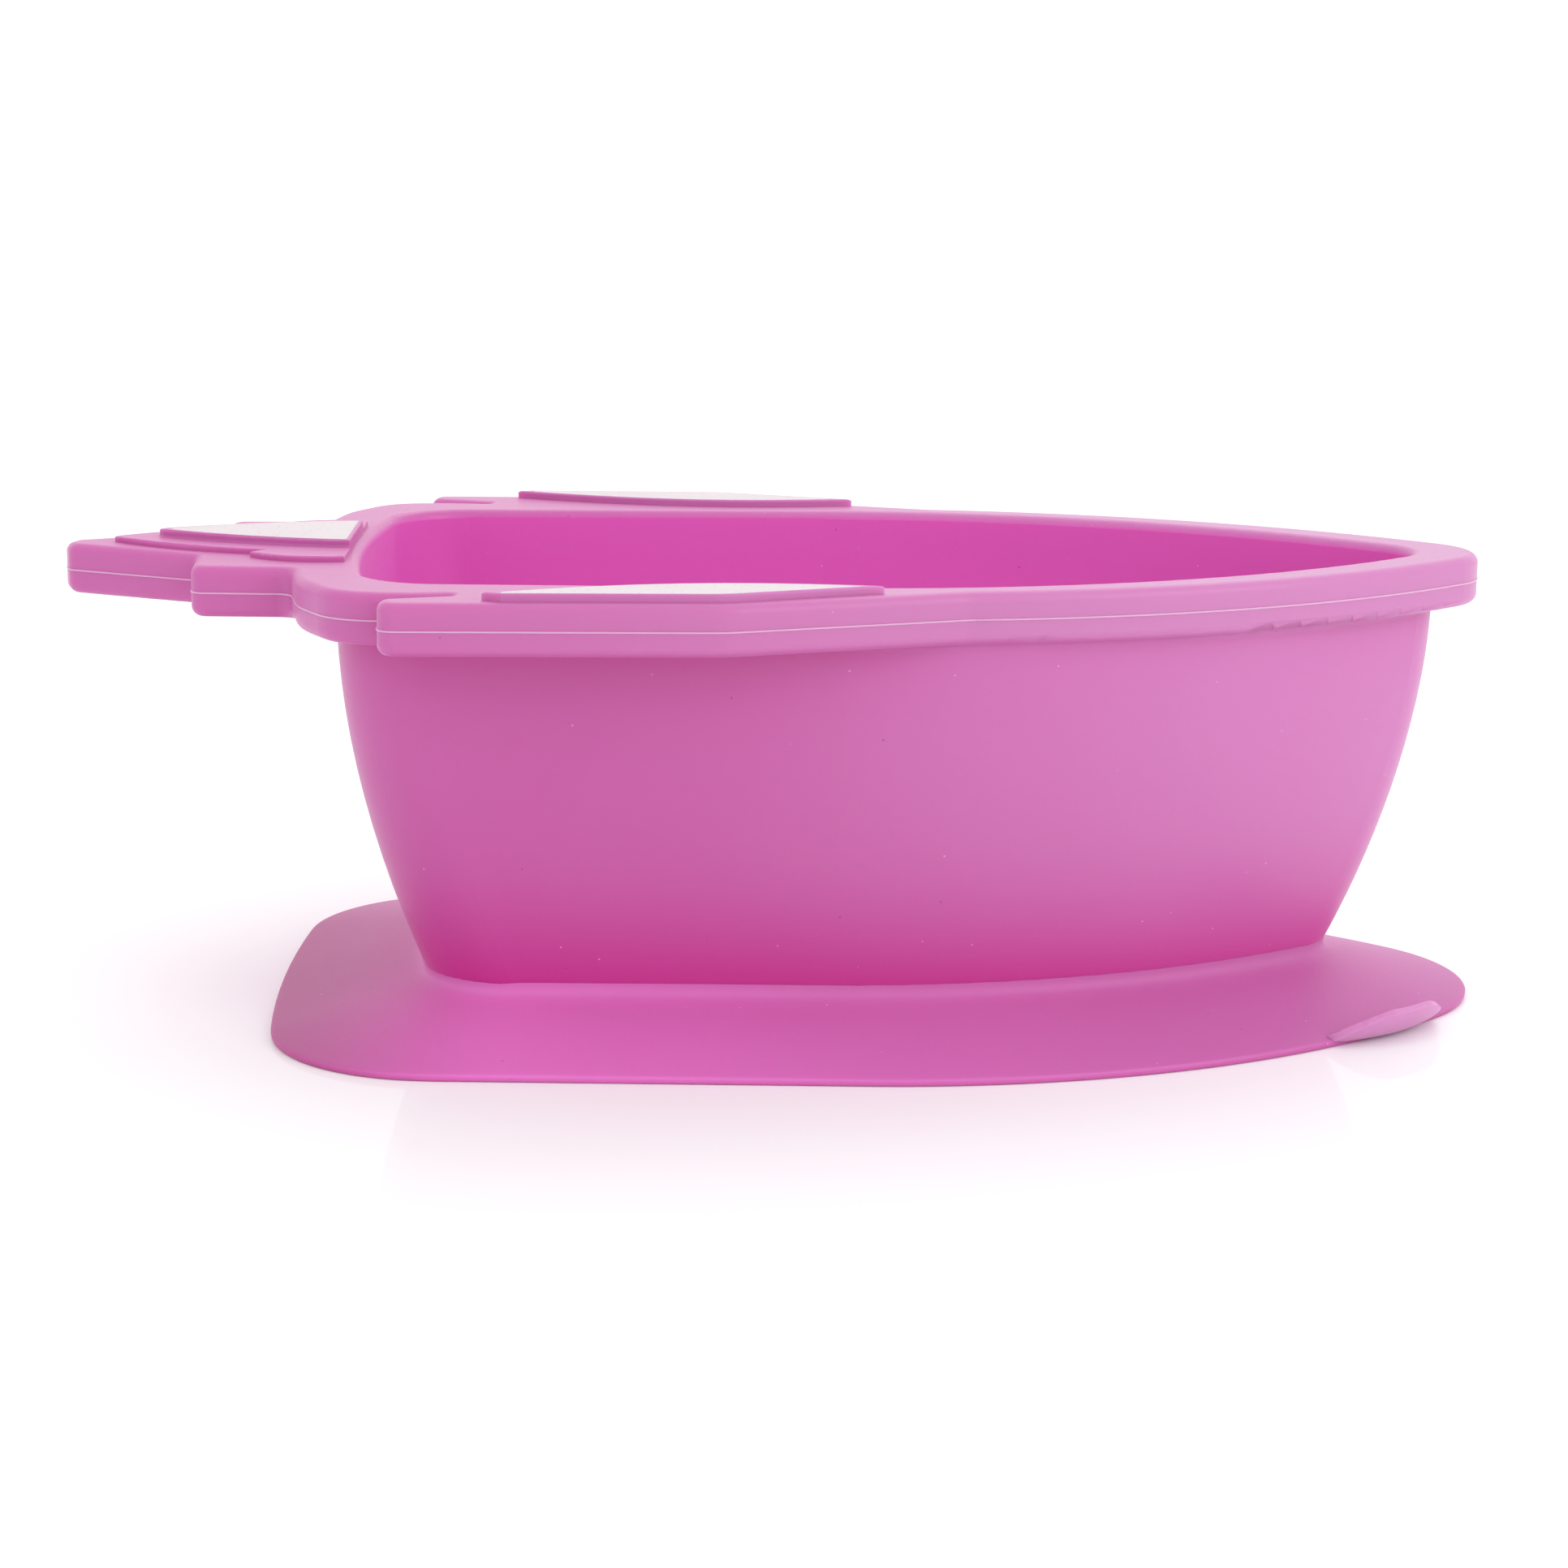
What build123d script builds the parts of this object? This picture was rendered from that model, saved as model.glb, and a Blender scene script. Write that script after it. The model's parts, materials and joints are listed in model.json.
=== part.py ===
"""Rocket-shaped silicone suction bowl: basin, suction skirt, release tab and inlays.

Millimetres, +Z up, nose towards +X, flame tail towards -X. The sealing lip stands
on Z = 0, with the origin at the middle of the whole bowl's box.
"""

import os
from math import cos, radians, sin

from build123d import *

os.makedirs("parts", exist_ok=True)

# ---------------------------------------------------------------- driving sizes
RIM_TOP = 64.0  # height of the rim's flat top
RIM_THICK = 7.0  # thickness of the rim, fins and flames
RIM_SHARP_X = 103.5  # where the rim's two sides would meet if the nose were sharp
RIM_NOSE_ROUND = 11.0
RIM_HALF = 42.3  # half width of the rim where the fins leave it
RIM_TAIL_X = -66.0  # back of the rim between the fins and the flames
FLAME_TIP_X = -100.0  # end of the long middle flame
RIM_ROUND = 1.4  # rounding of the rim's top and bottom edges
TIP_ROUND = 2.2  # plan rounding of the fin and flame tips

FOOT_Z = 5.5  # underside of the basin, where the skirt is moulded on
FLOOR_THICK = 3.5
WALL = 3.2
HULL_SHARP_X = 97.1  # the same point of the basin just under the rim
HULL_NOSE_ROUND = 11.0
HULL_SIDE_X = 8.0  # the basin is widest here, and its bow is one arc from here on
HULL_TAIL_X = -61.3
HULL_HALF = 41.0
NOSE_RAKE = 12.0  # how far each side of the basin comes in from rim to foot
TAIL_RAKE = 11.8
SIDE_RAKE = 11.2
HULL_CURVE = 1.75  # the side starts upright under the rim and curves in below
HULL_CORNER = 13.0
HULL_BULGE = 3.5  # how far the middle of the tail stands behind its corners
TAIL_SHARE = 0.96  # half width at the tail as a share of the widest
BOW_INSET = 1.3  # the sharp end of a bow moves this far for each mm of inset
CORNER_INSET = 0.6  # and the tail corners' rounding shrinks this much
FLOOR_ROUND = 6.0
MOUTH_ROUND = 1.2

FIN_HALF = 54.0  # half width over the fins
FIN_ISLAND = 1.1  # height of the raised panel on each fin
FLAME_STEP = 0.8  # height of the broad raised flame
FLAME_ISLAND = 1.9  # height of the narrow flame that stands on it
PANEL_ROUND = 0.3  # rounding of the raised panels' top edges
UNDER_ROUND = 1.2  # rounding between the rim's underside and the basin
INLAY_DEEP = 0.9
SEAT = 0.5  # how far the raised panels reach down into the rim
BORDER = 0.5  # width of silicone left round each inlay
ISLAND_END_X = -59.4  # where the raised flames stop short of the basin's mouth

LEVELS = 5  # outlines that each curved side is drawn through
FIN_SHOULDER_X = -8.0  # where the fin's swept edge turns straight back
FIN_TIP_X = -52.0
NOTCH_X = -34.6  # where the gap behind the fin closes
SIDE_FLAME_X = -79.6
BROAD_FLAME = (-92.6, 9.9, 13.0)  # tip, half width half way along, half width at the mouth
NARROW_FLAME = (-86.3, 6.4, 10.2)
RIM_BOW_MID = (60.0, 32.2)  # a point half way along the rim's bow
FLAME_MID = (-90.0, 7.2)  # the middle flame's edge half way to its tip
FLAME_END = (FLAME_TIP_X + 0.8, 2.6)
# corners of one side of the rim, nose to flames: x, y and the radius each is rounded to
RIM_SIDE = (
    (24.0, RIM_HALF - 0.3, 6.0),
    (FIN_SHOULDER_X, FIN_HALF - 0.6, 12.0),
    (FIN_TIP_X, FIN_HALF, TIP_ROUND),
    (FIN_TIP_X - 0.4, FIN_HALF - 4.6, 1.8),
    (NOTCH_X, 43.7, 0.8),
    (-49.0, 45.8, 20.0),
    (-58.5, 45.0, 9.0),
    (-64.2, 34.0, 20.0),
    (RIM_TAIL_X, 23.6, 2.5),
    (SIDE_FLAME_X, 23.2, TIP_ROUND),
    (SIDE_FLAME_X - 0.8, 11.8, 1.2),
)

SKIRT_SHARP_X = 107.4  # where the two bows of the skirt's edge would meet
SKIRT_NOSE_ROUND = 26.0
SKIRT_SIDE_X = 14.0
SKIRT_HALF = 51.6
SKIRT_TAIL_X = -70.8
SKIRT_TAIL_HALF = 48.8
SKIRT_BULGE = 3.6
SKIRT_CORNER = 24.0
LIP_THICK = 1.0  # thickness of the skirt at its edge
LIP_WIDE = 3.0  # width of the flat sealing lip
SKIRT_THICK = 1.8
NECK_ROUND = 3.0  # the skirt's top spreads this far out from the foot of the basin
NECK_LAND = 4.0  # width of the ring where skirt and basin are one

TAB_HALF = 12.0
TAB_LONG = 6.2
TAB_THICK = 1.2
TAB_TILT = 40.0  # degrees that the tab stands up when it is left alone
TAB_MID = (84.3, -23.6)  # middle of the edge that the tab hangs on
TAB_ALONG = (0.73, 0.683)  # direction of that edge
TAB_GAP = 2.8  # the hinge line lies this far outside the chord of that edge
HINGE_R = 0.6


# ---------------------------------------------------------------- basin outlines
RIM_FOOT = RIM_TOP - RIM_THICK


def rake(height):
    """Share of the full rake that the basin's side has at a height."""
    fall = max(RIM_FOOT - height, 0.0) / (RIM_FOOT - FOOT_Z)
    return fall**HULL_CURVE


def boat_outline(side_x, half, sharp_x, nose_round, tail_x, tail_half, bulge, corner):
    """Rocket-shaped plan face: one arc for each bow, straight sides and a bulging tail."""
    with BuildSketch() as plan:
        with BuildLine():
            bow = TangentArc((side_x, half), (sharp_x, 0), tangent=(1, 0))
            side = Line(bow @ 0, (tail_x + bulge, tail_half))
            TangentArc((tail_x, 0), side @ 1, tangent=(0, 1))
            mirror(about=Plane.XZ)
        make_face()
        fillet(plan.vertices().sort_by(Axis.X)[:2], radius=corner)
        fillet(plan.vertices().sort_by(Axis.X)[-1], radius=nose_round)
    return plan.sketch


def hull_level(height, inset):
    """Level outline of the basin at a height, drawn inset from its outside."""
    share = rake(height)
    half = HULL_HALF - SIDE_RAKE * share - inset
    return boat_outline(
        HULL_SIDE_X,
        half,
        HULL_SHARP_X - NOSE_RAKE * share - BOW_INSET * inset,
        HULL_NOSE_ROUND - inset,
        HULL_TAIL_X + TAIL_RAKE * share + inset,
        TAIL_SHARE * half,
        HULL_BULGE,
        HULL_CORNER - CORNER_INSET * inset,
    )


def skirt_level(inset):
    """Plan outline of the skirt's edge, or of a line drawn inset from it."""
    return boat_outline(
        SKIRT_SIDE_X,
        SKIRT_HALF - inset,
        SKIRT_SHARP_X - BOW_INSET * inset,
        SKIRT_NOSE_ROUND - inset,
        SKIRT_TAIL_X + inset,
        SKIRT_TAIL_HALF - inset,
        SKIRT_BULGE,
        SKIRT_CORNER - inset,
    )


def heights(low, high):
    """Heights of the outlines that a curved side runs through."""
    return [low + (high - low) * step / (LEVELS - 1) for step in range(LEVELS)]


def level_faces(block, height):
    """Flat faces of a part that lie level at a height."""
    return block.faces().filter_by(Plane.XY).filter_by(lambda f: abs(f.center().Z - height) < 0.01)


# ---------------------------------------------------------------- rim outline
with BuildSketch() as rim_plan:
    with BuildLine():
        side_points = [(x, y) for x, y, _ in RIM_SIDE]
        ThreePointArc((RIM_SHARP_X, 0), RIM_BOW_MID, side_points[0])
        Polyline(*side_points)
        Spline(side_points[-1], FLAME_MID, FLAME_END)
        Line(FLAME_END, (FLAME_TIP_X, 0))
        mirror(about=Plane.XZ)
    make_face()
    fillet(rim_plan.vertices().sort_by_distance((RIM_SHARP_X, 0))[0], radius=RIM_NOSE_ROUND)
    for x, y, radius in RIM_SIDE + ((*FLAME_END, TIP_ROUND),):
        for hand in (1, -1):
            fillet(rim_plan.vertices().sort_by_distance((x, hand * y))[0], radius=radius)


# ---------------------------------------------------------------- raised panels
def fin_leaf(inset):
    """Leaf shape of the panel on the left fin, drawn inset from its own edge."""
    tail_end = (-39.0 + 5.0 * inset, 51.3 - 1.0 * inset)
    nose_end = (12.5 - 5.0 * inset, 43.9 + 0.6 * inset)
    with BuildSketch() as leaf:
        with BuildLine():
            rear = Line(tail_end, (-36.5, 52.4 - inset))
            outer = Line(rear @ 1, (FIN_SHOULDER_X - 0.5 * inset, 52.0 - inset))
            Line(outer @ 1, nose_end)
            Spline(nose_end, (-8.0, 42.0 + inset), tail_end, tangents=((-1, -0.2), (-1, 0.5)))
        make_face()
        fillet(leaf.vertices().sort_by_distance(outer @ 1)[0], radius=12)
    return leaf.sketch


def flame_leaf(tip_x, shoulder_half, root_half, inset):
    """Tapering flame on the middle tongue, drawn inset from its own edge."""
    tip = tip_x + 3.0 * inset
    with BuildSketch() as leaf:
        with BuildLine():
            flank = ThreePointArc(
                (ISLAND_END_X - inset, root_half - inset),
                ((ISLAND_END_X + tip_x) / 2 - 2.0, shoulder_half - inset),
                (tip, 0.9),
            )
            Line(flank @ 1, (tip - 0.6, 0))
            Line(flank @ 0, (ISLAND_END_X - inset, 0))
            mirror(about=Plane.XZ)
        make_face()
    return leaf.sketch


# the broad flame and, merged with it, a lens on each side flame
with BuildSketch() as flame_panels:
    with BuildLine():
        lens = ThreePointArc((ISLAND_END_X, 18.2), (-66.5, 18.3), (-72.6, 14.4))
        Polyline(lens @ 1, (-70.0, 11.0), (ISLAND_END_X, 11.0), lens @ 0)
    make_face()
    mirror(about=Plane.XZ)
    add(flame_leaf(*BROAD_FLAME, 0.0))

# ---------------------------------------------------------------- bowl shell
with BuildPart() as hollow:
    for height in heights(FOOT_Z + FLOOR_THICK, RIM_TOP):
        with BuildSketch(Plane.XY.offset(height)):
            add(hull_level(height, WALL))
    loft()
    fillet(hollow.faces().sort_by(Axis.Z)[0].edges(), radius=FLOOR_ROUND)

with BuildPart() as bowl_shell:
    with BuildSketch(Plane.XY.offset(RIM_FOOT)):
        add(rim_plan.sketch)
    extrude(amount=RIM_THICK)
    rim_faces = bowl_shell.faces().sort_by(Axis.Z)
    fillet(rim_faces[0].edges() + rim_faces[-1].edges(), radius=RIM_ROUND)
    for height in heights(FOOT_Z, RIM_FOOT + 1.0):
        with BuildSketch(Plane.XY.offset(height)):
            add(hull_level(height, 0.0))
    loft()
    underside = level_faces(bowl_shell, RIM_FOOT)[0]
    fillet(underside.inner_wires()[0].edges(), radius=UNDER_ROUND)
    add(hollow.part, mode=Mode.SUBTRACT)
    mouth = bowl_shell.faces().filter_by(Plane.XY).sort_by(Axis.Z)[-1]
    fillet(mouth.inner_wires()[0].edges(), radius=MOUTH_ROUND)
    with BuildSketch(Plane.XY.offset(RIM_TOP - SEAT)):
        add(flame_panels.sketch)
    extrude(amount=SEAT + FLAME_STEP)
    with BuildSketch(Plane.XY.offset(RIM_TOP - SEAT)):
        add(fin_leaf(0.0))
        mirror(about=Plane.XZ)
    extrude(amount=SEAT + FIN_ISLAND)
    with BuildSketch(Plane.XY.offset(RIM_TOP - SEAT)):
        add(flame_leaf(*NARROW_FLAME, 0.0))
    extrude(amount=SEAT + FLAME_ISLAND)
    for panel_top in (FLAME_STEP, FIN_ISLAND, FLAME_ISLAND):
        panels = level_faces(bowl_shell, RIM_TOP + panel_top)
        fillet([edge for panel in panels for edge in panel.outer_wire().edges()], radius=PANEL_ROUND)
    with BuildSketch(Plane.XY.offset(RIM_TOP + FIN_ISLAND - INLAY_DEEP)):
        add(fin_leaf(BORDER))
        mirror(about=Plane.XZ)
    extrude(amount=INLAY_DEEP, mode=Mode.SUBTRACT)
    with BuildSketch(Plane.XY.offset(RIM_TOP + FLAME_ISLAND - INLAY_DEEP)):
        add(flame_leaf(*NARROW_FLAME, BORDER))
    extrude(amount=INLAY_DEEP, mode=Mode.SUBTRACT)
bowl_shell.part.label = "bowl_shell"
export_step(bowl_shell.part, "parts/bowl_shell.step")

# ---------------------------------------------------------------- white inlays
for hand, side in (("left", 1), ("right", -1)):
    with BuildPart() as fin_inlay:
        with BuildSketch(Plane.XY.offset(RIM_TOP + FIN_ISLAND - INLAY_DEEP)):
            add(fin_leaf(BORDER) if side > 0 else fin_leaf(BORDER).mirror(Plane.XZ))
        extrude(amount=INLAY_DEEP)
    fin_inlay.part.label = "fin_inlay_" + hand
    export_step(fin_inlay.part, "parts/fin_inlay_" + hand + ".step")

with BuildPart() as flame_inlay:
    with BuildSketch(Plane.XY.offset(RIM_TOP + FLAME_ISLAND - INLAY_DEEP)):
        add(flame_leaf(*NARROW_FLAME, BORDER))
    extrude(amount=INLAY_DEEP)
flame_inlay.part.label = "flame_inlay"
export_step(flame_inlay.part, "parts/flame_inlay.step")


# ---------------------------------------------------------------- suction skirt
with BuildPart() as suction_hollow:
    with BuildSketch():
        add(skirt_level(LIP_WIDE))
    with BuildSketch(Plane.XY.offset(FOOT_Z - SKIRT_THICK)):
        add(hull_level(FOOT_Z, -NECK_ROUND))
    loft(ruled=True)

with BuildPart() as suction_skirt:
    with BuildSketch(Plane.XY.offset(LIP_THICK)):
        add(skirt_level(0.0))
    with BuildSketch(Plane.XY.offset(FOOT_Z)):
        add(hull_level(FOOT_Z, -NECK_ROUND))
    loft(ruled=True)
    with BuildSketch():
        add(skirt_level(0.0))
    extrude(amount=LIP_THICK)
    add(suction_hollow.part, mode=Mode.SUBTRACT)
    with BuildSketch():
        add(hull_level(FOOT_Z, NECK_LAND))
    extrude(amount=FOOT_Z, mode=Mode.SUBTRACT)
suction_skirt.part.label = "suction_skirt"
export_step(suction_skirt.part, "parts/suction_skirt.step")

# ---------------------------------------------------------------- release tab
along = Vector(*TAB_ALONG, 0).normalized()
outward = Vector(along.Y, -along.X, 0)
hinge = Vector(*TAB_MID, LIP_THICK) + outward * TAB_GAP
tilt = radians(TAB_TILT)
tab_plane = Plane(
    origin=hinge,
    x_dir=-along,
    z_dir=Vector(0, 0, cos(tilt)) - outward * sin(tilt),
)
with BuildPart() as release_tab:
    with BuildSketch(tab_plane.offset(-TAB_THICK / 2)):
        with BuildLine():
            Polyline(
                (-TAB_HALF, 0),
                (-0.62 * TAB_HALF, 0.80 * TAB_LONG),
                (-0.25 * TAB_HALF, TAB_LONG),
                (0.25 * TAB_HALF, TAB_LONG),
                (0.62 * TAB_HALF, 0.80 * TAB_LONG),
                (TAB_HALF, 0),
                close=True,
            )
        make_face()
    extrude(amount=TAB_THICK)
    with BuildSketch(Plane(origin=hinge - along * TAB_HALF, z_dir=along)):
        Circle(HINGE_R)
    extrude(amount=2 * TAB_HALF)
release_tab.part.label = "release_tab"
export_step(release_tab.part, "parts/release_tab.step")
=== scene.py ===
"""Looks of the rocket-shaped suction bowl: skirt, release tab, mould line, finishes and studio.

Metres throughout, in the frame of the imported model: +Z up, nose towards +X, and the
sealing lip stands on Z = 0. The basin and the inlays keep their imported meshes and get
finishes here; the soft skirt and tab are modelled here in place of their plain solids.
"""

import json
import logging
import math
from dataclasses import dataclass
from enum import Enum
from typing import Any, Callable, Optional, Union

import bmesh
import bpy
from mathutils import Matrix, Vector

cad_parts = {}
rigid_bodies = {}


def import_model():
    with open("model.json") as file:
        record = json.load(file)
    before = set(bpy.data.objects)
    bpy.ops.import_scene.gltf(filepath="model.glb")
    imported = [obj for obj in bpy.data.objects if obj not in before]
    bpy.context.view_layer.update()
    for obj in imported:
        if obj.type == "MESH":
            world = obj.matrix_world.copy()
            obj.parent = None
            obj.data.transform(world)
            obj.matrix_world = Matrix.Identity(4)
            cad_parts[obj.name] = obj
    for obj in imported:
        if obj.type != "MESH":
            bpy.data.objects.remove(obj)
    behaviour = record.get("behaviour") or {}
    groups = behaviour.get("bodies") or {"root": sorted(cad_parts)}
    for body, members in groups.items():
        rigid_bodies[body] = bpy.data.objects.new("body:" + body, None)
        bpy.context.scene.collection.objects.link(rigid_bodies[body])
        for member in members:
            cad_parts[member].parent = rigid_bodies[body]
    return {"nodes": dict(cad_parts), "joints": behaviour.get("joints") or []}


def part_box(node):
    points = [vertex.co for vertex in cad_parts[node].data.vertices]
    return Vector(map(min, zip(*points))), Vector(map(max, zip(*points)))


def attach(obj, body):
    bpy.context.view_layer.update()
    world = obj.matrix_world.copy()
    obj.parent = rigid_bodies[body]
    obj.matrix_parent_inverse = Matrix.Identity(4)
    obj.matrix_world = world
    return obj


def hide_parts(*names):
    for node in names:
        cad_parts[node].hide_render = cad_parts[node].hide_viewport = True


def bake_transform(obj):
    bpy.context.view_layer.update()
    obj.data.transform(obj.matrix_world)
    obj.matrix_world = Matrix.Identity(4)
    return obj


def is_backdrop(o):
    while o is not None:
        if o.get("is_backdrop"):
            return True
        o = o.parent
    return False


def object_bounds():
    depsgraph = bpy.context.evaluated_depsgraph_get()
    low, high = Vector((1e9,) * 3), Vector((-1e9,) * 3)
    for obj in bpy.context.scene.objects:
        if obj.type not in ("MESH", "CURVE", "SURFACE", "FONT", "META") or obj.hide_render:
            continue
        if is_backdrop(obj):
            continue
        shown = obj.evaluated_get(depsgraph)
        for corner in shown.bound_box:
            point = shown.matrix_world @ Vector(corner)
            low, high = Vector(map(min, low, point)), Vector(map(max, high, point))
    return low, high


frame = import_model()
log = logging.getLogger("suction_bowl")

MM = 0.001
SOFT_FOLD = math.radians(35.0)  # faces that meet at less than this shade as one
HARD_EDGE = math.radians(50.0)  # edges that turn more than this are rounded
Colour = tuple[float, float, float]
Zone = tuple[float, float]


class Body(Enum):
    """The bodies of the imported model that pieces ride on."""

    BOWL = "bowl"
    SKIRT = "skirt"
    TAB = "tab"


class Slot(Enum):
    """The record's material slots."""

    BOWL = "pink_silicone"
    SKIRT = "pink_silicone_skirt"
    INLAY = "white_silicone"


# ---------------------------------------------------------------- shader tools
class Value:
    """A number socket of a shader that Python's operators turn into Math nodes."""

    def __init__(self, sheet: "ShaderSheet", socket: bpy.types.NodeSocket) -> None:
        """Wrap a socket.

        Args:
            sheet: The shader sheet that new Math nodes go on.
            socket: The output socket that holds the number.
        """
        self.sheet = sheet
        self.socket = socket

    def _math(self, operation: str, first: Any, second: Any) -> "Value":
        """Add one Math node.

        Args:
            operation: Blender's name of the operation.
            first: The first value or number.
            second: The second value or number.

        Returns:
            The result as a new value.
        """
        node = self.sheet.node("Math", {"operation": operation}, {0: first, 1: second})
        return Value(self.sheet, node.outputs[0])

    def __add__(self, other: Any) -> "Value":
        """Return self + other."""
        return self._math("ADD", self, other)

    __radd__ = __add__

    def __sub__(self, other: Any) -> "Value":
        """Return self - other."""
        return self._math("SUBTRACT", self, other)

    def __rsub__(self, other: Any) -> "Value":
        """Return other - self."""
        return self._math("SUBTRACT", other, self)

    def __mul__(self, other: Any) -> "Value":
        """Return self * other."""
        return self._math("MULTIPLY", self, other)

    def __lt__(self, other: Any) -> "Value":
        """Return 1 where self is below other, else 0."""
        return self._math("LESS_THAN", self, other)

    def __pow__(self, other: Any) -> "Value":
        """Return self raised to other."""
        return self._math("POWER", self, other)


class ShaderSheet:
    """One material's node sheet, with short ways to add its nodes."""

    def __init__(self, name: str) -> None:
        """Start an empty material.

        Args:
            name: The material's name.
        """
        self.material = bpy.data.materials.new(name)
        self.material.use_nodes = True
        self.tree = self.material.node_tree
        self.tree.nodes.clear()
        self.place = self.node("TexCoord", {}, {}).outputs["Object"]

    def node(self, kind: str, settings: dict, inputs: dict) -> bpy.types.Node:
        """Add a node, set its settings first and its sockets after.

        Args:
            kind: The node's type without its prefix.
            settings: Properties by name.
            inputs: Sockets by name or index, each a number, a colour, a socket or a value.

        Returns:
            The new node.
        """
        made = self.tree.nodes.new("ShaderNode" + kind)
        for key, setting in settings.items():
            setattr(made, key, setting)
        for key, given in inputs.items():
            target = made.inputs[key]
            if isinstance(given, Value):
                given = given.socket
            if isinstance(given, bpy.types.NodeSocket):
                self.tree.links.new(given, target)
            elif isinstance(given, tuple) and target.type == "RGBA":
                target.default_value = (*given[:3], 1.0)
            else:
                target.default_value = given
        return made

    def noise(self, scale: float, detail: float = 2.0, roughness: float = 0.5) -> Value:
        """Add a noise texture on object coordinates.

        Args:
            scale: Waves per metre.
            detail: Number of finer octaves.
            roughness: Strength of the finer octaves.

        Returns:
            The noise, about 0.5 on average.
        """
        made = self.node(
            "TexNoise",
            {},
            {"Vector": self.place, "Scale": scale, "Detail": detail, "Roughness": roughness},
        )
        return Value(self, made.outputs[0])

    def specks(self, cells: float, size: float, shift: float) -> Value:
        """Scatter small round specks through space.

        Args:
            cells: Speck cells per metre.
            size: Radius of a speck as a share of its cell.
            shift: Moves the pattern, in metres, so that two layers differ.

        Returns:
            1 on a speck, else 0.
        """
        moved = self.node("Mapping", {}, {"Vector": self.place, "Location": (shift, shift, 0.0)})
        made = self.node(
            "TexVoronoi",
            {"feature": "F1"},
            {"Vector": moved.outputs[0], "Scale": cells, "Randomness": 1.0},
        )
        return Value(self, made.outputs["Distance"]) < size

    def height(self, low: float, high: float) -> Value:
        """Measure how far up a point is.

        Args:
            low: Height where the value is 0, in metres.
            high: Height where the value is 1, in metres.

        Returns:
            The smooth share from 0 to 1.
        """
        return self.along(2, low, high)

    def along(self, axis: int, low: float, high: float) -> Value:
        """Measure how far along an axis a point is.

        Args:
            axis: 0 for X, 1 for Y and 2 for Z.
            low: Place where the value is 0, in metres.
            high: Place where the value is 1, in metres.

        Returns:
            The smooth share from 0 to 1.
        """
        split = self.node("SeparateXYZ", {}, {0: self.place})
        return self._share(split.outputs[axis], low, high)

    def _share(self, measure: bpy.types.NodeSocket, low: float, high: float) -> Value:
        """Turn a measure into a smooth share.

        Args:
            measure: The measure's socket.
            low: The measure where the share is 0.
            high: The measure where the share is 1.

        Returns:
            The smooth share from 0 to 1.
        """
        made = self.node(
            "MapRange",
            {"interpolation_type": "SMOOTHSTEP"},
            {"Value": measure, "From Min": low, "From Max": high},
        )
        return Value(self, made.outputs[0])

    def facing_in(self, none: float, full: float) -> Value:
        """Find the upright faces that look towards the middle of the bowl.

        A face is measured by its distance from the middle, along its own normal.

        Args:
            none: The measure where the value is 0, in metres.
            full: The measure where the value is 1, in metres.

        Returns:
            1 on the inside of a wall, 0 on its outside and on level faces.
        """
        flat = self.node(
            "VectorMath", {"operation": "MULTIPLY"}, {0: self.place, 1: (1.0, 1.0, 0.0)}
        )
        normal = self.node("NewGeometry", {}, {}).outputs["Normal"]
        out = self.node("VectorMath", {"operation": "DOT_PRODUCT"}, {0: flat.outputs[0], 1: normal})
        return self._share(out.outputs["Value"], none, full)

    def crease(self, reach: float) -> Value:
        """Measure how closed-in a point is.

        Args:
            reach: How far the measure looks round, in metres.

        Returns:
            0 in the open, towards 1 in a crease.
        """
        made = self.node("AmbientOcclusion", {"samples": 12}, {"Distance": reach})
        return 1.0 - Value(self, made.outputs["AO"])

    def mix(self, share: Union[Value, float], first: Any, second: Any) -> bpy.types.NodeSocket:
        """Mix two colours.

        Args:
            share: 0 for the first colour, 1 for the second.
            first: A colour or a colour socket.
            second: A colour or a colour socket.

        Returns:
            The mixed colour's socket.
        """
        made = self.node(
            "Mix",
            {"data_type": "RGBA", "clamp_factor": True},
            {0: share, 6: first, 7: second},
        )
        return made.outputs[2]

    def bump(
        self, height: Value, depth: float, under: Optional[bpy.types.NodeSocket] = None
    ) -> bpy.types.NodeSocket:
        """Add a bump.

        Args:
            height: The height pattern, 0 to 1.
            depth: Its depth in metres.
            under: The normal of a coarser bump below this one.

        Returns:
            The normal's socket.
        """
        inputs: dict = {"Height": height, "Distance": depth, "Strength": 1.0}
        if under is not None:
            inputs["Normal"] = under
        return self.node("Bump", {}, inputs).outputs[0]

    def close(self, shader: bpy.types.NodeSocket) -> bpy.types.Material:
        """Join a shader to the material's output.

        Args:
            shader: The shader socket.

        Returns:
            The finished material.
        """
        self.node("OutputMaterial", {}, {"Surface": shader})
        return self.material


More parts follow.
